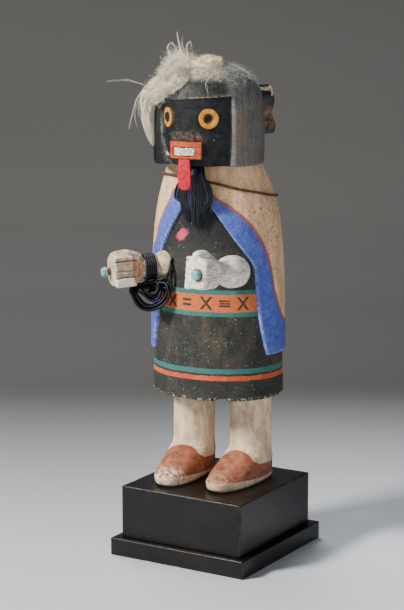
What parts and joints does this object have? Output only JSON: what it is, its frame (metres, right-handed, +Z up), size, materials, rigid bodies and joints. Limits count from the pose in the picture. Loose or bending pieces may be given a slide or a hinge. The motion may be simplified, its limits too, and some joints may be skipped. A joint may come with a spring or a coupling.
{
  "type": "carved kachina doll",
  "caption": "Carved and painted standing figure with a block head, fur, yarn and a cape, on a two-step black display stand.",
  "frame": {"origin": "centre of the stand's underside, on the surface it stands on", "axes": "+Z up; the stand's front face looks along -Y; the figure faces -Y turned 7.5 degrees toward its own left"},
  "size_m": [0.1247, 0.1378, 0.3811],
  "materials": {
    "painted_wood": "matt paint over light root wood",
    "cream_fur": "soft pelt with long fine hair",
    "chalk_paint": "matt white paint over wood",
    "brown_twine": "twisted twine",
    "black_strands": "smooth hanging strands",
    "black_paint": "matt paint, worn brown",
    "cream_cotton": "cotton tie",
    "ochre_paint": "painted wood ring",
    "orange_paint": "painted wood, chipped teeth",
    "red_leather": "soft matt strip",
    "black_yarn": "glossy yarn",
    "turquoise": "polished stone",
    "stand_lacquer": "satin black lacquer"
  },
  "bodies": {
    "root": {"figure": "painted_wood", "head_fur": "cream_fur", "left_arm": "chalk_paint", "right_arm": "chalk_paint", "shoulder_cord": "brown_twine", "beard": "black_strands", "hair_bobbin": "black_paint", "bobbin_tie": "cream_cotton", "eye_left": "ochre_paint", "eye_right": "ochre_paint", "mouth": "orange_paint", "tongue": "red_leather", "wrist_yarn": "black_yarn", "yarn_hank": "black_yarn", "turquoise_left": "turquoise", "turquoise_right": "turquoise", "stand_block": "stand_lacquer", "stand_plinth": "stand_lacquer"}
  },
  "joints": []
}
